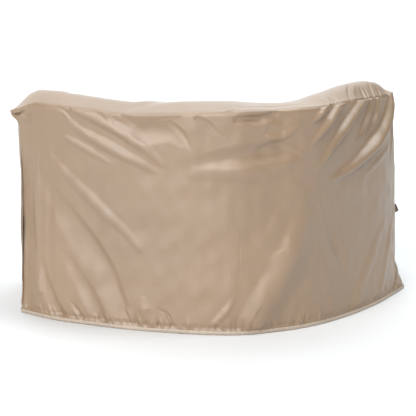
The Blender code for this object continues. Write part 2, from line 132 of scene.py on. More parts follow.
# Creases, in millimetres, as columns of name, half width on the path's left, half width on its
# right, rise at its start, middle and end, and path. A trough has a negative rise.
BACK_CREASES = (
    ("ridge 1", 38, 23, (6, 11, 2),
     ((289, 822), (355, 799), (422, 773), (485, 743), (528, 714), (575, 685), (634, 635))),
    ("ridge 2", 34, 25, (3, 10, 2),
     ((262, 781), (316, 741), (375, 713), (428, 689), (478, 664), (535, 643), (601, 610))),
    ("ridge 3", 24, 17, (3, 5, 1), ((249, 715), (335, 675), (428, 632))),
    ("ridge 4", 38, 26, (2, 7, 2),
     ((166, 641), (252, 567), (319, 507), (402, 437), (482, 375), (541, 314))),
    ("left trough", 34, 98, (-3, -14, -8),
     ((139, 557), (206, 485), (259, 428), (312, 366), (365, 303),
      (402, 254), (432, 199), (452, 145), (478, 90))),
    ("left trough 2", 27, 52, (-1, -7, -7),
     ((236, 266), (276, 215), (312, 165), (345, 114), (375, 62), (395, 14))),
    ("left trough 3", 30, 50, (-1, -8, -9),
     ((76, 320), (110, 211), (136, 142), (166, 86), (213, 16))),
    ("corner turn", 80, 50, (-2, -12, -12), ((27, 652), (20, 455), (23, 256), (17, 53))),
    ("edge roll", 24, 34, (2, 6, 5), ((100, 695), (96, 540), (90, 302), (106, 105))),
    ("edge trough", 30, 26, (-1, -4, -2), ((156, 661), (159, 511), (156, 311), (166, 95))),
    ("seam pinch", 8, 11, (-2, -5, -3), ((176, 826), (239, 824), (272, 800))),
    ("strip", 10, 20, (4, 6, 2), ((395, 826), (422, 814), (445, 791))),
    ("strip 2", 30, 34, (2, 5, 1), ((445, 823), (492, 782), (541, 738), (588, 689))),
    ("pocket", 50, 58, (-4, -12, -3),
     ((458, 805), (502, 779), (558, 759), (621, 761), (668, 757), (707, 731))),
    ("pocket crease", 14, 20, (-3, -6, -1), ((664, 793), (697, 769), (721, 742), (741, 700))),
    ("pocket roll", 14, 22, (4, 6, 4), ((495, 820), (595, 821), (701, 827))),
    ("between", 50, 50, (2, 3, 1), ((744, 828), (754, 767), (744, 692), (737, 612))),
    ("nick", 15, 20, (-4, -5, -1), ((767, 809), (800, 792), (830, 767), (860, 744))),
    ("swag", 50, 54, (-0.5, -12, -9),
     ((744, 643), (827, 661), (910, 672), (996, 682), (1069, 687), (1143, 687))),
    ("swag corner", 24, 18, (-2, -5, -1), ((990, 686), (1026, 706), (1083, 710), (1133, 702))),
    ("band", 54, 50, (0.5, 7, 5),
     ((727, 600), (820, 614), (920, 613), (1040, 616), (1109, 640), (1152, 683))),
    ("crescent", 19, 32, (-6, -14, -9),
     ((910, 809), (940, 810), (986, 809), (1016, 813), (1043, 824))),
    ("crescent roll", 10, 14, (3, 6, 4), ((910, 835), (973, 838), (1046, 840))),
    ("sharp bend", 20, 34, (3, 4, 1), ((1050, 835), (1040, 813), (1023, 794), (1006, 756))),
    ("patch", 28, 26, (-4, -5, -2), ((1040, 807), (1069, 801), (1129, 810))),
    ("bright ridge", 30, 14, (3, 8, 2), ((1030, 739), (1073, 735), (1116, 750), (1156, 774))),
    ("diagonal", 22, 20, (2, 4, 2), ((1026, 739), (1089, 713), (1162, 675))),
    ("right fold 1", 14, 24, (8, 14, 1), ((1279, 831), (1245, 806), (1206, 781))),
    ("right fold 2", 18, 34, (14, 22, 2),
     ((1388, 837), (1325, 800), (1285, 767), (1252, 739), (1209, 698))),
    ("right fold 3", 20, 40, (16, 24, 3),
     ((1558, 835), (1468, 788), (1408, 743), (1348, 702), (1302, 663), (1245, 600))),
    ("right fold 4", 13, 24, (10, 15, 1), ((1598, 832), (1581, 775), (1538, 725), (1481, 679))),
    ("right fold 5", 13, 24, (10, 15, 1), ((1657, 827), (1644, 774), (1608, 732), (1551, 683))),
    ("right fold 6", 26, 52, (19, 34, 4),
     ((1860, 833), (1807, 797), (1760, 744), (1697, 694),
      (1617, 649), (1531, 613), (1448, 580), (1329, 550))),
    ("under fold 6", 22, 26, (1, 4, 1), ((1784, 629), (1664, 583), (1538, 539))),
    ("streak", 12, 14, (2, 4, 2), ((1853, 765), (1833, 674), (1790, 556))),
    ("low right fold", 100, 86, (4, 21, 17),
     ((1189, 492), (1162, 384), (1139, 317), (1113, 263), (1079, 199), (1043, 143), (990, 54))),
    ("low right swell", 90, 170, (2, 11, 6),
     ((1156, 522), (1133, 384), (1106, 299), (1069, 226), (1020, 143))),
    ("low right side", 50, 44, (1, 4, 1), ((1146, 534), (1093, 462), (1053, 401), (1013, 339))),
    ("notch", 12, 12, (-0.5, -1.6, -0.5), ((1023, 312), (1059, 317), (1096, 330))),
    ("low right trough", 48, 34, (-2, -8, -3),
     ((1265, 491), (1315, 370), (1365, 267), (1415, 143))),
    ("low right streak", 36, 44, (1, 4, 4), ((1245, 312), (1292, 184), (1345, 35))),
    ("low right fold 2", 40, 46, (1, 7, 7),
     ((1740, 352), (1644, 267), (1591, 199), (1531, 120), (1488, 44))),
    ("low right fold 3", 30, 34, (1, 6, 6),
     ((1863, 385), (1800, 297), (1754, 221), (1710, 138), (1671, 39))),
    ("flare ridge", 16, 16, (2, 7, 7), ((1803, 179), (1867, 95), (1900, 10))),
    ("flare pinch", 9, 9, (-3, -7, -5), ((1850, 91), (1813, 58), (1787, 30))),
    ("hem light", 18, 24, (1, 5, 4), ((903, 142), (877, 95), (834, 44))),
    ("hem bump", 32, 34, (2, 5, 2), ((558, 117), (561, 90), (568, 53))),
    ("hem curl", 10, 12, (-1, -5, -5), ((614, 90), (648, 71), (668, 25))),
    ("hem slot", 10, 16, (-1, -6, -5), ((256, 81), (282, 53), (309, 20))),
    ("vertical line", 6, 6, (-0.5, -0.9, -0.5), ((927, 413), (923, 306), (920, 202))),
    ("ear slit", 7, 9, (-12, -12, -4), ((10, 810), (33, 810), (56, 817))),
    ("ear flap", 10, 12, (4, 7, 2), ((40, 812), (46, 781), (46, 738))),
    ("ear fold", 8, 9, (-3, -6, -2), ((73, 828), (70, 792), (56, 735))),
)
HANDLE_END_CREASES = (
    ("patch pull 1", 22, 30, (4, 7, 2), ((30, 350), (50, 440), (40, 560))),
    ("patch pull 2", 24, 24, (4, 5, 1), ((200, 350), (170, 420), (120, 520))),
    ("patch sag", 20, 34, (-3, -6, -3), ((30, 320), (110, 290), (200, 320))),
    ("long ridge", 44, 32, (6, 11, 1), ((70, 820), (120, 680), (180, 540), (270, 400))),
    ("long trough", 36, 36, (-3, -8, -1), ((120, 800), (170, 680), (240, 560), (340, 450))),
    ("low trough", 50, 50, (-1, -9, -3), ((290, 640), (330, 460), (350, 280), (340, 100))),
    ("front ridge", 40, 46, (3, 10, 6), ((460, 600), (450, 420), (430, 220), (380, 30))),
    ("hem ridge", 24, 20, (3, 7, 6), ((160, 220), (200, 120), (260, 30))),
    ("hem trough", 20, 20, (-3, -6, -5), ((120, 200), (150, 110), (200, 30))),
    ("rim fold", 20, 16, (6, 6, 2), ((360, 650), (400, 550), (470, 470))),
)
FRONT_CREASES = (
    ("corner ridge", 50, 36, (4, 11, 1), ((30, 600), (100, 500), (220, 360), (380, 220))),
    ("corner trough", 34, 42, (-3, -8, -1), ((60, 600), (160, 510), (300, 420), (460, 340))),
    ("second ridge", 34, 30, (2, 6, 1), ((120, 600), (220, 550), (350, 500), (520, 460))),
    ("left hang", 80, 80, (-1, -10, -6), ((500, 560), (530, 400), (520, 220), (470, 30))),
    ("left hang 2", 70, 90, (1, 8, 6), ((620, 480), (650, 340), (640, 180), (680, 30))),
    ("middle hang", 80, 80, (-1, -8, -5), ((840, 460), (820, 320), (800, 180), (770, 30))),
    ("right hang", 65, 80, (1, 9, 6), ((1020, 540), (1050, 380), (1070, 200), (1100, 30))),
    ("rim sag", 30, 55, (-1, -10, -1), ((540, 590), (680, 550), (840, 545), (1000, 590))),
    ("rim band", 45, 40, (1, 6, 1), ((560, 520), (700, 485), (860, 480), (1000, 530))),
    ("right ridge", 36, 50, (4, 11, 1), ((1490, 600), (1420, 500), (1310, 370), (1150, 250))),
    ("right trough", 42, 34, (-3, -8, -1), ((1450, 600), (1350, 500), (1230, 430), (1100, 390))),
    ("right ridge 2", 30, 34, (2, 6, 1), ((1380, 600), (1290, 550), (1180, 510), (1060, 500))),
    ("low left", 36, 28, (1, 7, 5), ((200, 300), (280, 200), (340, 110), (380, 30))),
    ("low left 2", 26, 28, (-1, -5, -4), ((130, 220), (190, 150), (240, 80), (270, 30))),
    ("low right", 30, 38, (1, 8, 6), ((1340, 320), (1270, 220), (1210, 120), (1180, 30))),
    ("low right 2", 28, 28, (-1, -5, -4), ((1420, 240), (1370, 170), (1330, 100), (1300, 30))),
    ("low middle", 34, 34, (1, 6, 5), ((880, 260), (910, 180), (940, 100), (980, 30))),
)
PLAIN_END_CREASES = (
    ("front ridge", 44, 40, (3, 10, 6), ((40, 620), (90, 460), (110, 240), (130, 30))),
    ("middle trough", 50, 50, (-1, -10, -3), ((220, 700), (230, 520), (200, 340), (170, 120))),
    ("ear ridge", 30, 44, (6, 11, 1), ((420, 800), (380, 660), (310, 540), (200, 420))),
    ("ear trough", 30, 34, (-4, -8, -1), ((380, 800), (320, 680), (240, 600), (150, 530))),
    ("rim fold", 26, 24, (3, 6, 1), ((100, 640), (160, 580), (230, 520), (300, 480))),
    ("hem ridge", 28, 34, (1, 8, 6), ((360, 340), (320, 220), (280, 120), (250, 30))),
    ("hem trough", 26, 26, (-1, -6, -5), ((410, 280), (380, 180), (350, 100), (330, 30))),
    ("back hang", 34, 34, (1, 5, 2), ((420, 640), (410, 480), (420, 320), (430, 140))),
)
TOP_CREASES = (
    ("left arm fold", 74, 54, (-2, -12, -2), ((600, 60), (520, -80), (420, -220), (290, -370))),
    ("left arm ridge", 48, 60, (2, 9, 2), ((690, -30), (610, -150), (500, -290), (390, -410))),
    ("left seat ridge", 70, 84, (1, 9, 1), ((360, 220), (290, 60), (220, -100), (110, -300))),
    ("seat trough", 90, 80, (-1, -9, -1), ((-10, 280), (-60, 100), (-50, -80), (10, -280))),
    ("seat swag", 56, 78, (-1, -9, -1), ((-460, -170), (-220, -270), (60, -310), (420, -210))),
    ("seat swag 2", 44, 50, (-1, -6, -1), ((-500, -300), (-160, -380), (140, -400), (480, -320))),
    ("right seat ridge", 80, 70, (1, 10, 1), ((-310, 200), (-280, 20), (-230, -150), (-120, -340))),
    ("right arm fold", 56, 76, (-2, -12, -2),
     ((-590, 70), (-520, -60), (-420, -220), (-270, -380))),
    ("right arm ridge", 60, 46, (2, 8, 2), ((-670, -20), (-600, -140), (-510, -280), (-400, -410))),
    ("left rim pull", 38, 42, (1, 7, 1), ((730, -170), (650, -270), (560, -350), (430, -430))),
    ("right rim pull", 38, 38, (1, 7, 1), ((-720, -190), (-640, -300), (-550, -370), (-440, -430))),
    ("bow crease", 44, 56, (-1, -6, -1), ((420, 260), (250, 240), (80, 200), (-70, 90))),
    ("bow crease 2", 44, 52, (-1, -7, -1), ((-120, 330), (-260, 240), (-360, 120), (-430, -40))),
    ("ear fold", 24, 32, (-8, -7, -1), ((780, -40), (700, -70), (580, -50))),
)
# The same columns, measured along the back rim and in from it.
TOP_RIM_CREASES = (
    ("gather 1", 10, 13, (4, 4, 1), ((1300, 0), (1290, 30), (1272, 60))),
    ("gather 2", 9, 11, (-4, -4, -1), ((1345, 0), (1330, 26), (1318, 50))),
    ("gather 3", 9, 12, (4, 3, 1), ((1378, 0), (1368, 22), (1364, 45))),
    ("gather 4", 10, 20, (-2, -2.5, -1), ((1446, 0), (1452, 45), (1490, 110))),
    ("gather 5", 18, 18, (1, 1.5, 1), ((1480, 0), (1490, 40), (1520, 90))),
    ("gather 6", 10, 12, (-3, -3, -1), ((1558, 0), (1552, 34), (1548, 70))),
    ("gather 7", 12, 12, (2, 2, 1), ((1590, 0), (1592, 30), (1588, 64))),
    ("gather 8", 9, 12, (-3, -4, -1), ((1625, 0), (1630, 50), (1632, 105))),
    ("gather 9", 10, 12, (-3, -3, -1), ((1690, 0), (1688, 34), (1676, 70))),
    ("corner roll", 18, 24, (10, 4, 1), ((1812, 0), (1806, 34), (1776, 76))),
    ("back roll", 20, 24, (-1, -3, -1), ((840, 22), (1000, 34), (1200, 26))),
    ("lump", 14, 16, (3, 4, 1), ((880, 12), (900, 22), (920, 34))),
)
WALL_CREASES = {
    "back": BACK_CREASES,
    "handle_end": HANDLE_END_CREASES,
    "front": FRONT_CREASES,
    "plain_end": PLAIN_END_CREASES,
}
PATH_STEPS = 14  # straight steps that each crease's path is followed in
CREST = 2.1  # power of a crease's section: 2 is round, and less has a sharper crest
NARROWEST = 0.5  # share of its width that a crease keeps where it dies out

# Seams. The softness of the turn from the top into the back wall and the depth of its groove
# change along the rim, so each is a row of places with their values.
SOFT_SEAM = ((0.0, 0.30), (0.15, 0.5), (0.35, 1.0), (1.15, 1.0), (1.28, 0.14), (1.90, 0.12))
SEAM_DEPTH = ((0.0, 0.0003), (1.12, 0.0003), (1.25, 0.0030), (1.90, 0.0030))
RIM_SOFTNESS = 0.16  # of the other three rims
CORNER_SOFTNESS = 0.14  # of the four upright seams
SEAM_ROUNDS = 36  # smoothing rounds
SEAM_ROWS = 12  # how many rows from a seam still feel them
SMOOTHING = 0.5  # share of the way to its neighbours' mean that the softest point goes in a round
GROOVE_DEPTH = 0.0016  # of the other seams
GROOVE_WIDTH = 0.0060

# Cloth near the hem, and its slight uneven swell.
HEM_DIP = (0.0022, 0.025, 0.009)  # how deep, how high and how wide the cloth dips over the binding
HEM_CALM = (0.012, 0.026)  # creases die out between these heights, behind the binding
TOP_SWELL = 0.0008
WALL_SWELL = 0.0009
RIM_CALM = 0.06  # a wall's swell grows from none at the rim to all of it this far below

# Puckers: short creases above the hem, of random size.
PUCKER_GAPS = (0.011, 0.030)  # least and most distance from one to the next
PUCKER_REACH = (0.018, 0.058)  # how high the smallest and the largest run above the hem
PUCKER_RISE = (0.0015, 0.0055)
PUCKER_ORDER = 0.3  # how much of the rise goes by the size. The rest is random
PUCKER_WIDTH = (0.0055, 0.0110)
PUCKER_GROWTH = (0.8, 1.3)  # width of the smallest and the largest, over the random width
PUCKER_BALANCE = (0.7, 1.4)  # right half width over left
PUCKER_FADE = 0.15  # share of the rise that is left at the head
PUCKER_TROUGHS = 0.55  # share of them that go in
PUCKER_LEAN = (0.55, 0.15, -0.60)  # slant at the start, middle and end of the back wall
PUCKER_STRAY = 0.18  # spread of the slant, which is upright on the other walls
PUCKER_PATH = (  # from foot to head: share of its slant, least height, and share of its reach
    (0.0, 0.010, 0.0), (0.6, 0.012, 0.5), (1.1, 0.014, 1.0),
)

# Hem binding, with tight folds across it.
BINDING_LOW = 0.0006
BINDING_HIGH = 0.0150
BINDING_STEP = 0.0020  # from point to point along the hem
BINDING_OUT = 0.0036
BINDING_SECTION = (  # share of the way out, share of the way up
    (0.06, 0.00), (0.55, 0.00), (0.86, 0.14), (0.98, 0.34), (1.00, 0.55), (0.92, 0.78),
    (0.62, 0.97), (0.30, 1.00), (0.06, 0.96), (0.04, 0.50),
)
FOLD_SEED = 41
FOLD_GAPS = (0.0045, 0.0115)  # least and most distance from one to the next
FOLD_WIDTH = (0.0016, 0.0036)
FOLD_DEPTH = (0.0007, 0.0023)
FOLD_LEAN = 0.35  # spread of their slant
FOLD_DROP = (-0.00024, 0.0012)  # how far the tape's upper edge dips at one

# Grab handle: webbing sewn flat at both ends and bowed out between them.
HANDLE_START = 0.020  # from the back corner, along the hem
HANDLE_SPAN = 0.190
HANDLE_PATCH = 0.022
HANDLE_WIDTH = 0.025
HANDLE_THICKNESS = 0.0020
HANDLE_HEIGHT = 0.334
HANDLE_BULGE = 0.048
HANDLE_BOW = 1.5  # power of the bow's sine: more is flatter at the patches
HANDLE_LEAN = 0.010  # how much further its lower edge stands out
HANDLE_STEPS = 120
HANDLE_BRIDGE = 12  # steps over which it bridges the wall's small creases
HANDLE_GAP = 0.0006
HANDLE_SECTION = (  # share of the half width, share of the thickness
    (-1.0, 0.72), (-0.94, 0.72), (-0.5, 1.0), (0.0, 1.0), (0.5, 1.0), (0.94, 0.72), (1.0, 0.72),
)

# Materials.
COATING = {"Specular IOR Level": 1.0, "IOR": 1.47, "Sheen Weight": 0.05, "Sheen Roughness": 0.30}
ROUGH_SPREAD = 0.06  # how far a cloth's roughness strays to either side
WAVE_PERIOD = math.pi / 10  # period of a wave texture at scale 1
NODE_SPACING = 220  # in the node editor

# Stage. Azimuths and elevations are in degrees, an azimuth from +Y towards +X. The camera is the
# photograph's.
LIGHTS = (  # name, azimuth, elevation, strength, how wide it looks in degrees, and colour
    ("key", 40, 27, 3.9, 60, (1.0, 0.975, 0.945)),
    ("softbox", -68, 59, 1.9, 25, (0.93, 0.98, 1.01)),
    ("overhead", 150, 86, 0.9, 45, (0.97, 0.98, 1.0)),
)
LIGHT_DISTANCE = 5
ROOM_STRENGTH = 0.03
ROOM_COLOUR = (0.90, 0.98, 1.04, 1.0)
BACKDROP_STRENGTH = 2.1
BACKDROP_WAY = (0.0, -0.75, 0.65)  # from the part towards the middle of the pale backdrop
BACKDROP_EDGE = (0.58, 0.88)  # cosines from that way, from its dark edge to all its light
FLOOR_TONE = 0.61
FLOOR_ROUGHNESS = 0.9
FLOOR_HALF = 80.0
FLOOR_DROP = 0.0005
CAMERA_PLACE = (1.1684, 4.5122, 1.3829)
CAMERA_AZIMUTH = 14
CAMERA_ELEVATION = 12.0617
SENSOR_WIDTH = 36.0
FOCAL_LENGTH = SENSOR_WIDTH * 1184 / 416  # 1184 pixels of a picture 416 pixels wide
VIEW_END = 200


def unit(vectors):
    return vectors / np.maximum(np.linalg.norm(vectors, axis=-1, keepdims=True), 1e-9)


def between(ends, share):
    return ends[0] + (ends[1] - ends[0]) * share


def distances(points):
    """How far along its line each point lies. The lines run along the first axis."""
    steps = np.linalg.norm(np.diff(points, axis=0), axis=-1)
    return np.concatenate([np.zeros_like(steps[:1]), np.cumsum(steps, axis=0)])


def outward_of(run):
    """Level directions to the right of a run, which is outward on an anticlockwise line."""
    return unit(np.column_stack([run[:, 1], -run[:, 0], np.zeros(len(run))]))


def through(knots, values, places):
    """The values at some places, on a smooth curve through the knots."""
    knots = np.asarray(knots, float)
    values = np.asarray(values, float)
    slopes = np.gradient(values, knots, axis=0)
    left = np.clip(np.searchsorted(knots, places, side="right") - 1, 0, len(knots) - 2)
    width = knots[left + 1] - knots[left]
    share = (places - knots[left]) / width
    if values.ndim == 2:
        share = share[:, None]
        width = width[:, None]
    rise = share * share * (3 - 2 * share)
    leave = share * (1 - share) ** 2 * width
    arrive = share * share * (share - 1) * width
    change = values[left + 1] - values[left]
    return values[left] + change * rise + slopes[left] * leave + slopes[left + 1] * arrive


def side_curves(table, columns):
    """The rim and the hem of one wall, at equal steps along the hem, and the hem's length."""
    table = np.asarray(table)
    knots = distances(table[:, :2])
    rows = through(knots, table, np.linspace(0, knots[-1], columns + 1))
    hem = np.column_stack([rows[:, :2], np.zeros(columns + 1)])
    return rows[:, 2:], hem, knots[-1]


def top_sheet(back, front, left, right):
    """Points between four rim curves, then lifted to the heights of TOP_LINES."""
    u = np.linspace(0, 1, len(back))[None, :, None]
    v = np.linspace(0, 1, len(left))[:, None, None]
    across = (1 - v) * back[None] + v * front[None]
    along = (1 - u) * left[:, None] + u * right[:, None]
    corners = (1 - v) * ((1 - u) * back[0] + u * back[-1])
    corners = corners + v * ((1 - u) * front[0] + u * front[-1])
    sheet = across + along - corners
    line_places = [0] + [row[0] for row in TOP_LINES] + [1]
    share_places = np.array([0, *TOP_SHARES, 1])
    columns = (np.array(line_places) * (len(back) - 1)).round().astype(int)
    plain = np.array([through(v.ravel(), sheet[:, i, 2], share_places) for i in columns])
    lift = np.zeros_like(plain)
    lift[1:-1, 1:-1] = np.array([row[1] for row in TOP_LINES]) - plain[1:-1, 1:-1]
    by_line = through(columns, lift, np.arange(len(back)))
    sheet[:, :, 2] += through(share_places, by_line.T, v.ravel())
    return sheet


def wall_sheet(rim, hem, drawn_in):
    """Points from the rim down to the hem, drawn in a little at half height."""
    even = np.linspace(0, 1, WALL_ROWS + 1)
    share = even - ROW_CROWDING / (2 * math.pi) * np.sin(2 * math.pi * even)
    share = share[:, None, None]
    sheet = (1 - share) * rim[None] + share * hem[None]
    outward = outward_of(np.gradient(hem, axis=0))
    depth = np.linspace(*drawn_in, len(hem))[None, :, None]
    return sheet - outward[None] * np.sin(math.pi * share) * depth


def in_metres(rows):
    """Rows of a crease table, as path, left half width, right half width and rises."""
    return [
        (np.array(path) / 1000, left / 1000, right / 1000, np.array(rises) / 1000)
        for _, left, right, rises, path in rows
    ]


def pucker_rows(name, length):
    """The puckers of one wall, as rows like those of in_metres."""
    rng = np.random.default_rng(sum(name.encode()))
    rows = []
    place = rng.uniform(*PUCKER_GAPS)
    while place < length - PUCKER_GAPS[0]:
        size = rng.uniform(0, 1) ** 2
        reach = between(PUCKER_REACH, size)
        strength = PUCKER_ORDER * size + (1 - PUCKER_ORDER) * rng.uniform()
        rise = between(PUCKER_RISE, strength)
        half = rng.uniform(*PUCKER_WIDTH) * between(PUCKER_GROWTH, size)
        lean = np.interp(place / length, (0, 0.5, 1), PUCKER_LEAN) if name == "back" else 0
        lean += rng.normal(0, PUCKER_STRAY)
        if rng.uniform() < PUCKER_TROUGHS:
            rise = -rise
        slant = lean * reach
        path = [(place - slant * aside, foot + reach * up) for aside, foot, up in PUCKER_PATH]
        rises = np.array([rise, rise, rise * PUCKER_FADE])
        rows.append((np.array(path), half, half * rng.uniform(*PUCKER_BALANCE), rises))
        place += rng.uniform(*PUCKER_GAPS)
    return rows


def crease_lift(rows, across, up):
    """How far the creases raise each point of a sheet that is measured across and up."""
    lift = np.zeros(across.shape)
    for path, left_half, right_half, rises in rows:
        most = max(left_half, right_half)
        low = path.min(axis=0) - most
        high = path.max(axis=0) + most
        near = (across > low[0]) & (across < high[0]) & (up > low[1]) & (up < high[1])
        if not near.any():
            continue
        knots = distances(path)
        line = through(knots, path, np.linspace(0, knots[-1], PATH_STEPS + 1))
        points = np.column_stack([across[near], up[near]])
        step = np.diff(line, axis=0)
        away = points[:, None] - line[None, :-1]
        share = np.clip((away * step).sum(axis=2) / (step**2).sum(axis=1), 0, 1)
        gap = away - share[..., None] * step
        far = np.linalg.norm(gap, axis=2)
        best = far.argmin(axis=1)
        each = np.arange(len(points))
        side = step[best, 0] * gap[each, best, 1] - step[best, 1] * gap[each, best, 0]
        place = (best + share[each, best]) / PATH_STEPS
        rise = np.interp(place, (0, 0.5, 1), rises)
        strength = np.abs(rise) / np.abs(rises).max()
        half = np.where(side > 0, left_half, right_half)
        half = half * between((NARROWEST, 1), strength)
        reach = np.clip(far[each, best] / half, 0, 1) ** CREST
        lift[near] += rise * (1 - reach) ** 2
    return lift


def swell(across, up, seed, longest, shortest, count, stretch=1.0):
    """A smooth uneven surface of about unit size, made of plane waves."""
    rng = np.random.default_rng(seed)
    total = np.zeros(across.shape)
    for _ in range(count):
        length = math.exp(rng.uniform(math.log(shortest), math.log(longest)))
        turn = rng.uniform(0, 2 * math.pi)
        phase = rng.uniform(0, 2 * math.pi)
        run = across * math.cos(turn) * stretch + up * math.sin(turn)
        total += np.sin(run * 2 * math.pi / length + phase)
    return total * math.sqrt(2 / count)


class Skin:
    """One welded skin: points shared by the grids of its panels."""

    def __init__(self):
        self.points = np.zeros((0, 3))
        self.grids = {}
        self.lengths = {}

    def add(self, name, sheet, shared=()):
        """Adds a sheet as a grid of point numbers. Shared holds (place, numbers) pairs."""
        count = sheet.shape[0] * sheet.shape[1]
        grid = np.arange(len(self.points), len(self.points) + count).reshape(sheet.shape[:2])
        self.points = np.vstack([self.points, sheet.reshape(-1, 3)])
        for place, numbers in shared:
            grid[place] = numbers
        self.grids[name] = grid
        return grid

    def normals(self):
        total = np.zeros_like(self.points)
        for grid in self.grids.values():
            near = self.points[grid]
            diagonal = near[1:, 1:] - near[:-1, :-1]
            other = near[1:, :-1] - near[:-1, 1:]
            face = np.cross(other, diagonal)
            for corner in (grid[:-1, :-1], grid[:-1, 1:], grid[1:, :-1], grid[1:, 1:]):
                np.add.at(total, corner, face)
        return unit(total)

    def smooth(self, weight, rounds):
        """Moves each point towards the mean of its neighbours, by its own weight."""
        pairs = []
        for grid in self.grids.values():
            pairs.append(np.column_stack([grid[:, :-1].ravel(), grid[:, 1:].ravel()]))
            pairs.append(np.column_stack([grid[:-1].ravel(), grid[1:].ravel()]))
        pairs = np.unique(np.sort(np.vstack(pairs), axis=1), axis=0)
        pairs = pairs[(weight[pairs] > 0).any(axis=1)]
        count = np.zeros(len(self.points))
        for side in (0, 1):
            np.add.at(count, pairs[:, side], 1)
        step = np.where(count > 3, weight, 0)[:, None] * SMOOTHING
        for _ in range(rounds):
            total = np.zeros_like(self.points)
            np.add.at(total, pairs[:, 0], self.points[pairs[:, 1]])
            np.add.at(total, pairs[:, 1], self.points[pairs[:, 0]])
            mean = total / np.maximum(count, 1)[:, None]
            self.points += (mean - self.points) * step


def build_skin():
    """The top and the four walls, welded at the rims and at the upright seams."""
    skin = Skin()
    sides = {name: side_curves(table, columns) for name, table, columns, _ in WALLS}
    back, handle_end, front, plain_end = (rim for rim, _, _ in sides.values())
    top = skin.add("top", top_sheet(back, front[::-1], plain_end[::-1], handle_end)[::-1])
    rim_numbers = {
        "back": top[-1],
        "handle_end": top[::-1, -1],
        "front": top[0, ::-1],
        "plain_end": top[:, 0],
    }
    previous = None
    for name, _, _, drawn_in in WALLS:
        rim, hem, length = sides[name]
        skin.lengths[name] = length
        shared = [((0, slice(None)), rim_numbers[name])]
        if previous is not None:
            shared.append(((slice(None), 0), previous[:, -1]))
        if name == "plain_end":
            shared.append(((slice(None), -1), skin.grids["back"][:, 0]))
        previous = skin.add(name, wall_sheet(rim, hem, drawn_in), shared)
    return skin


def soften_seams(skin, back_softness):
    """Smooths the skin near its seams. The softness of the back rim changes along it."""
    weight = np.zeros(len(skin.points))
    grids = skin.grids
    for offset, share in enumerate(1 - np.linspace(0, 1, SEAM_ROWS, endpoint=False) ** 2):
        edges = [(grids["top"][-1 - offset], back_softness), (grids["back"][offset], back_softness)]
        for name, _, _, _ in WALLS:
            if name != "back":
                edges.append((grids[name][offset], RIM_SOFTNESS))
            edges.append((grids[name][:, offset], CORNER_SOFTNESS))
            edges.append((grids[name][:, -1 - offset], CORNER_SOFTNESS))
        for numbers, softness in edges:
            weight[numbers] = np.maximum(weight[numbers], softness * share)
    skin.smooth(weight, SEAM_ROUNDS)


def groove(distance):
    """The section of a seam's groove, from 1 at the seam to 0 at the groove's edge."""
    return np.clip(1 - distance / GROOVE_WIDTH, 0, 1) ** 2


def top_lift(points, places):
    """How far the top's points rise. The places are those of its columns along the back rim."""
    across = points[:, :, 0]
    up = points[:, :, 1]
    along = np.broadcast_to(places, across.shape)
    inward = distances(points[::-1])[::-1]
    lift = crease_lift(in_metres(TOP_CREASES), across, up)
    lift += crease_lift(in_metres(TOP_RIM_CREASES), along, inward)
    lift += TOP_SWELL * swell(across, up, seed=3, longest=0.30, shortest=0.09, count=24)
    return lift - np.interp(along, *zip(*SEAM_DEPTH)) * groove(inward)


def wall_lift(points, name, length):
    """How far a wall's points rise."""
    up = points[:, :, 2]
    across = np.broadcast_to(np.linspace(0, length, points.shape[1]), up.shape)
    below = distances(points)
    lift = crease_lift(in_metres(WALL_CREASES[name]), across, up)
    lift += crease_lift(pucker_rows(name, length), across, up)
    seed = 5 + len(name)  # one of its own for each wall
    waves = swell(across, up, seed, longest=0.34, shortest=0.08, count=26, stretch=1.5)
    lift += WALL_SWELL * waves * np.clip(below / RIM_CALM, 0, 1)
    depth = np.interp(across, *zip(*SEAM_DEPTH)) if name == "back" else GROOVE_DEPTH
    lift -= depth * groove(below)
    lift *= np.clip((up - HEM_CALM[0]) / (HEM_CALM[1] - HEM_CALM[0]), 0, 1)
    dip, high, wide = HEM_DIP
    lift -= dip * np.exp(-(((up - high) / wide) ** 2))
    for edge in (across, length - across):
        lift -= GROOVE_DEPTH * groove(edge)
    return lift


def shape_skin(skin):
    """Softens the seams, lays the creases over the skin, and draws out its corners."""
    places = np.linspace(0, skin.lengths["back"], LONG_COLUMNS + 1)
    soften_seams(skin, np.interp(places, *zip(*SOFT_SEAM)))
    lift = np.zeros(len(skin.points))
    for name, grid in reversed(skin.grids.items()):
        if name == "top":
            lift[grid] = top_lift(skin.points[grid], places)
        else:
            lift[grid] = wall_lift(skin.points[grid], name, skin.lengths[name])
    skin.points += skin.normals() * lift[:, None]
    for _, place, shift, reach in PULLED_CORNERS:
        far = np.clip(np.linalg.norm(skin.points - np.array(place), axis=1) / reach, 0, 1)
        pull = (1 - far) ** 2 * (1 + 2 * far)
        skin.points += pull[:, None] * np.array(shift)
    for name, _, _, _ in WALLS:
        skin.points[skin.grids[name][-1], 2] = BINDING_LOW
    skin.points[:, 2] = np.maximum(skin.points[:, 2], BINDING_LOW)
    skin.points[:, :2] -= MIDDLE


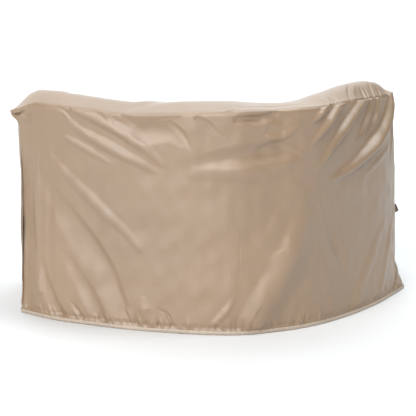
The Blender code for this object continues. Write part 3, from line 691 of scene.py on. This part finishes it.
def add_mesh(name, points, faces, uv, normals=None):
    """A smooth mesh of four-sided faces."""
    mesh = bpy.data.meshes.new(name)
    mesh.vertices.add(len(points))
    mesh.vertices.foreach_set("co", np.asarray(points, np.float32).ravel())
    faces = np.asarray(faces, np.int32)
    mesh.loops.add(faces.size)
    mesh.loops.foreach_set("vertex_index", faces.ravel())
    mesh.polygons.add(len(faces))
    mesh.polygons.foreach_set("loop_start", np.arange(0, faces.size, faces.shape[1]))
    mesh.update(calc_edges=True)
    mesh.validate()
    mesh.polygons.foreach_set("use_smooth", np.ones(len(faces), bool))
    layer = mesh.uv_layers.new(name="cut")
    layer.data.foreach_set("uv", np.asarray(uv, np.float32)[faces.ravel()].ravel())
    if normals is not None:
        mesh.normals_split_custom_set_from_vertices([tuple(normal) for normal in normals])
    made = bpy.data.objects.new(name, mesh)
    bpy.context.collection.objects.link(made)
    return made


def add_panel(skin, name, piece_name, normals):
    """One panel of the skin as a piece, with the whole skin's normals at its seams."""
    grid = skin.grids[name]
    points = skin.points[grid]
    steps = np.linalg.norm(np.diff(points, axis=1), axis=2).mean(axis=0)
    across = np.broadcast_to(np.concatenate([[0], np.cumsum(steps)]), grid.shape)
    uv = np.stack([across, distances(points)], axis=2).reshape(-1, 2)
    number = np.arange(grid.size).reshape(grid.shape)
    corners = (number[:-1, :-1], number[1:, :-1], number[1:, 1:], number[:-1, 1:])
    faces = np.stack([corner.ravel() for corner in corners], axis=1)
    return add_mesh(piece_name, points.reshape(-1, 3), faces, uv, normals[grid.ravel()])


def tube(section, closed):
    """A tube of lines as points, their numbers and faces. Closed, its ends meet too."""
    number = np.arange(len(section) * len(section[0])).reshape(len(section), -1)
    ahead = np.roll(number, -1, axis=1)
    corners = (number, ahead, np.roll(ahead, -1, axis=0), np.roll(number, -1, axis=0))
    faces = np.stack(corners, axis=2)
    faces = faces if closed else faces[:, :-1]
    return np.vstack(section), number, faces.reshape(-1, 4)


def closed_ring(line, step):
    """A closed line walked again at even steps, and each new point's distance along it."""
    line = np.vstack([line, line[:1]])
    knots = distances(line[:, :2])
    count = int(knots[-1] / step)
    places = np.arange(count) * knots[-1] / count
    return np.column_stack([np.interp(places, knots, line[:, k]) for k in range(3)]), places


def add_binding(skin):
    """The gathered tape round the foot of the four walls, and its length."""
    feet = [skin.points[skin.grids[name][-1, :-1]] for name, _, _, _ in WALLS]
    line, places = closed_ring(np.vstack(feet), BINDING_STEP)
    outward = outward_of(np.roll(line, -2, axis=0) - np.roll(line, 2, axis=0))
    total = places[-1] + BINDING_STEP
    tall = BINDING_HIGH - BINDING_LOW
    rng = np.random.default_rng(FOLD_SEED)
    bulge = np.zeros((len(BINDING_SECTION), len(line)))
    edge = np.zeros(len(line))
    place = 0.0
    while place < total:
        width = rng.uniform(*FOLD_WIDTH)
        depth = rng.uniform(*FOLD_DEPTH)
        lean = rng.normal(0, FOLD_LEAN)
        for k, (_, high) in enumerate(BINDING_SECTION):
            centre = place + lean * (high - 0.5) * tall
            gap = np.abs((places - centre + total / 2) % total - total / 2) / width
            bulge[k] -= depth * np.exp(-(gap**2))
        edge -= rng.uniform(*FOLD_DROP) * np.exp(-(((places - place) / width) ** 2))
        place += rng.uniform(*FOLD_GAPS)
    section = []
    for k, (out, high) in enumerate(BINDING_SECTION):
        ring = line + outward * (out * (BINDING_OUT + bulge[k]))[:, None]
        ring[:, 2] = BINDING_LOW + tall * high + edge * high
        section.append(ring)
    points, _, faces = tube(section, closed=True)
    height = np.repeat([high for _, high in BINDING_SECTION], len(line)) * tall
    uv = np.column_stack([np.tile(places, len(section)), height])
    return add_mesh("gathered_hem_binding", points, faces, uv), total


def on_wall(points, along, height):
    """The point of a wall's outer face at a share of its length and a height."""
    place = along * (points.shape[1] - 1)
    left = min(int(place), points.shape[1] - 2)
    ends = []
    for column in (points[:, left], points[:, left + 1]):
        order = np.argsort(column[:, 2])
        ends.append([np.interp(height, column[order, 2], column[order, k]) for k in range(3)])
    return between(np.array(ends), place - left)


def add_handle(skin):
    """The grab handle, on the handle end."""
    wall = skin.points[skin.grids["handle_end"]]
    length = skin.lengths["handle_end"]
    distance = np.linspace(0, HANDLE_SPAN, HANDLE_STEPS + 1)
    patch = HANDLE_PATCH / HANDLE_SPAN
    free = np.clip((distance / HANDLE_SPAN - patch) / (1 - 2 * patch), 0, 1)
    bow = np.sin(math.pi * free) ** HANDLE_BOW
    bridge = slice(None, None, HANDLE_BRIDGE)
    section = []
    for face in (1, -1):
        for side, thick in HANDLE_SECTION[::face]:
            height = HANDLE_HEIGHT + side * HANDLE_WIDTH / 2
            bulge = HANDLE_BULGE - side * HANDLE_LEAN / 2
            line = np.array([on_wall(wall, (HANDLE_START + d) / length, height) for d in distance])
            line[:, 0] = np.interp(distance, distance[bridge], line[bridge, 0])
            line += outward_of(np.gradient(line, axis=0)) * (HANDLE_GAP + bow * bulge)[:, None]
            out = outward_of(np.gradient(line, axis=0))
            section.append(line + out * HANDLE_THICKNESS * (1 + face * thick) / 2)
    points, number, faces = tube(section, closed=False)
    caps = []
    for end, turn in ((number[:, 0], 1), (number[:, -1], -1)):
        for k in range(len(section) // 2 - 1):
            caps.append((end[k], end[k + 1], end[-2 - k], end[-1 - k])[::turn])
    over = np.repeat(np.linspace(0, 2 * HANDLE_WIDTH, len(section)), len(distance))
    uv = np.column_stack([np.tile(distance, len(section)), over])
    return add_mesh("webbing_grab_handle", points, np.vstack([faces, caps]), uv)


def add_node(tree, kind, **settings):
    """A new node, to the left of the ones before it."""
    node = tree.nodes.new(kind)
    node.location.x = -NODE_SPACING * len(tree.nodes)
    for key, value in settings.items():
        setattr(node, key, value)
    return node


def set_sockets(node, values):
    for name, value in values.items():
        node.inputs[name].default_value = value


def new_material(name):
    made = bpy.data.materials.new(name)
    made.use_nodes = True
    return made, made.node_tree, made.node_tree.nodes["Principled BSDF"]


def noise(tree, source, scale, detail, roughness=0.5):
    node = add_node(tree, "ShaderNodeTexNoise")
    set_sockets(node, {"Scale": scale, "Detail": detail, "Roughness": roughness})
    tree.links.new(source, node.inputs["Vector"])
    return node.outputs["Fac"]


def ramp(tree, source, stops):
    """A colour between two, each with its place on the source's way from 0 to 1."""
    node = add_node(tree, "ShaderNodeValToRGB")
    for element, (at, colour) in zip(node.color_ramp.elements, stops):
        element.position = at
        element.color = (*colour, 1.0)
    tree.links.new(source, node.inputs["Fac"])
    return node.outputs["Color"]


def bump(tree, height, distance, strength, over=None):
    """A raised surface, laid over the normal of another."""
    node = add_node(tree, "ShaderNodeBump")
    set_sockets(node, {"Distance": distance, "Strength": strength})
    tree.links.new(height, node.inputs["Height"])
    if over is not None:
        tree.links.new(over, node.inputs["Normal"])
    return node.outputs["Normal"]


def weave(tree, uv, period):
    """Two crossed sets of threads, as one height."""
    both = add_node(tree, "ShaderNodeMath", operation="MULTIPLY")
    for direction, socket in zip("XY", both.inputs):
        node = add_node(tree, "ShaderNodeTexWave", bands_direction=direction)
        set_sockets(node, {"Scale": WAVE_PERIOD / period, "Distortion": 0.6, "Detail": 1.0})
        tree.links.new(uv, node.inputs["Vector"])
        tree.links.new(node.outputs["Fac"], socket)
    return both.outputs["Value"]


def cloth_material(name, pale, deep, rough, thread, crinkle):
    """Coated woven polyester: uneven tone, fine weave, small crinkles and an uneven sheen."""
    made, tree, shader = new_material(name)
    coordinates = add_node(tree, "ShaderNodeTexCoord")
    spot = coordinates.outputs["Object"]
    uv = coordinates.outputs["UV"]
    tone = ramp(tree, noise(tree, spot, scale=2.6, detail=2.0), ((0.30, deep), (0.70, pale)))
    tree.links.new(tone, shader.inputs["Base Color"])
    gloss = add_node(tree, "ShaderNodeMapRange")
    set_sockets(gloss, {"To Min": rough - ROUGH_SPREAD, "To Max": rough + ROUGH_SPREAD})
    tree.links.new(noise(tree, spot, scale=9.0, detail=3.0), gloss.inputs["Value"])
    tree.links.new(gloss.outputs["Result"], shader.inputs["Roughness"])
    large = noise(tree, spot, scale=26.0, detail=3.0, roughness=0.55)
    small = noise(tree, spot, scale=95.0, detail=3.0, roughness=0.6)
    normal = bump(tree, large, distance=0.004, strength=crinkle)
    normal = bump(tree, small, distance=0.0008, strength=0.5, over=normal)
    normal = bump(tree, weave(tree, uv, thread), distance=0.00012, strength=0.6, over=normal)
    tree.links.new(normal, shader.inputs["Normal"])
    set_sockets(shader, COATING)
    return made


def shade_painted_webbing_material():
    """Webbing with ribs and a fine mottle. Its dark brown is painted shade: the handle's tone as
    seen in shade on the unlit end.
    """
    made, tree, shader = new_material("ribbed_webbing_painted_shade")
    uv = add_node(tree, "ShaderNodeTexCoord").outputs["UV"]
    mottle = noise(tree, uv, scale=160.0, detail=2.0)
    # The dark brown base colours are painted shade, the handle's shaded tone, not a colour of its
    # own.
    tone = ramp(tree, mottle, ((0.35, (0.060, 0.040, 0.026)), (0.7, (0.125, 0.088, 0.060))))
    tree.links.new(tone, shader.inputs["Base Color"])
    shader.inputs["Roughness"].default_value = 0.7
    ribs = bump(tree, weave(tree, uv, period=0.0022), distance=0.0005, strength=0.8)
    tree.links.new(ribs, shader.inputs["Normal"])
    return made


def way_to(azimuth, elevation):
    """The direction from the part towards a light or the camera."""
    turn = math.radians(azimuth)
    height = math.radians(elevation)
    level = math.cos(height)
    return Vector((math.sin(turn) * level, math.cos(turn) * level, math.sin(height)))


def add_light(name, azimuth, elevation, strength, width, colour):
    data = bpy.data.lights.new(name, "SUN")
    data.energy = strength
    data.angle = math.radians(width)
    data.color = colour
    way = way_to(azimuth, elevation)
    lamp = bpy.data.objects.new(name, data)
    lamp.location = way * LIGHT_DISTANCE
    lamp.rotation_euler = way.to_track_quat("Z", "Y").to_euler()
    bpy.context.collection.objects.link(lamp)


def add_world():
    """Soft studio surroundings, bright only where a pale backdrop slopes up towards -Y."""
    world = bpy.data.worlds.new("studio")
    world.use_nodes = True
    tree = world.node_tree
    background = tree.nodes["Background"]
    direction = add_node(tree, "ShaderNodeTexCoord")
    facing = add_node(tree, "ShaderNodeVectorMath", operation="DOT_PRODUCT")
    facing.inputs[1].default_value = BACKDROP_WAY
    level = add_node(tree, "ShaderNodeMapRange", interpolation_type="SMOOTHSTEP")
    set_sockets(level, {"From Min": BACKDROP_EDGE[0], "From Max": BACKDROP_EDGE[1]})
    set_sockets(level, {"To Min": ROOM_STRENGTH, "To Max": BACKDROP_STRENGTH})
    tree.links.new(direction.outputs["Generated"], facing.inputs[0])
    tree.links.new(facing.outputs["Value"], level.inputs["Value"])
    tree.links.new(level.outputs["Result"], background.inputs["Strength"])
    background.inputs["Color"].default_value = ROOM_COLOUR
    bpy.context.scene.world = world


def add_camera():
    """The photograph's camera, in the part's frame."""
    back = way_to(CAMERA_AZIMUTH, CAMERA_ELEVATION)
    right = Vector((0, 0, 1)).cross(back).normalized()
    basis = Matrix((right, back.cross(right), back)).transposed()
    data = bpy.data.cameras.new("camera")
    data.sensor_width = SENSOR_WIDTH
    data.lens = FOCAL_LENGTH
    data.clip_end = VIEW_END
    camera = bpy.data.objects.new("camera", data)
    camera.matrix_world = Matrix.Translation(CAMERA_PLACE) @ basis.to_4x4()
    bpy.context.collection.objects.link(camera)
    bpy.context.scene.camera = camera


def add_floor():
    made, _, shader = new_material("pale_floor")
    shader.inputs["Base Color"].default_value = (FLOOR_TONE, FLOOR_TONE, FLOOR_TONE, 1.0)
    shader.inputs["Roughness"].default_value = FLOOR_ROUGHNESS
    mesh = bpy.data.meshes.new("floor")
    corners = [(x * FLOOR_HALF, y * FLOOR_HALF, 0) for x, y in ((-1, -1), (1, -1), (1, 1), (-1, 1))]
    mesh.from_pydata(corners, [], [(0, 1, 2, 3)])
    mesh.materials.append(made)
    floor = bpy.data.objects.new("floor", mesh)
    floor.location.z = -FLOOR_DROP
    bpy.context.collection.objects.link(floor)


skin = build_skin()
shape_skin(skin)
normals = skin.normals()
cloth = cloth_material(
    "coated_polyester",
    pale=(0.258, 0.174, 0.107),
    deep=(0.234, 0.160, 0.100),
    rough=0.39,
    thread=0.0016,
    crinkle=0.12,
)
tape = cloth_material(
    "gathered_polyester_tape",
    pale=(0.42, 0.35, 0.28),
    deep=(0.29, 0.23, 0.18),
    rough=0.50,
    thread=0.0012,
    crinkle=0.35,
)
binding, around = add_binding(skin)
binding.data.materials.append(tape)
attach(binding, "root")
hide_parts("hem_binding")
handle = add_handle(skin)
handle.data.materials.append(shade_painted_webbing_material())
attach(handle, "root")
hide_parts("grab_handle")
for name, node, piece_name, held, (width, length), flat_area in PANELS:
    piece = add_panel(skin, name, piece_name, normals)
    piece.data.materials.append(cloth)
    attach(piece, "root")
    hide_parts(node)

add_floor()
add_world()
for light in LIGHTS:
    add_light(*light)
add_camera()
scene = bpy.context.scene
scene.view_settings.view_transform = "Standard"
scene.view_settings.look = "None"
scene.view_settings.exposure = 0.0
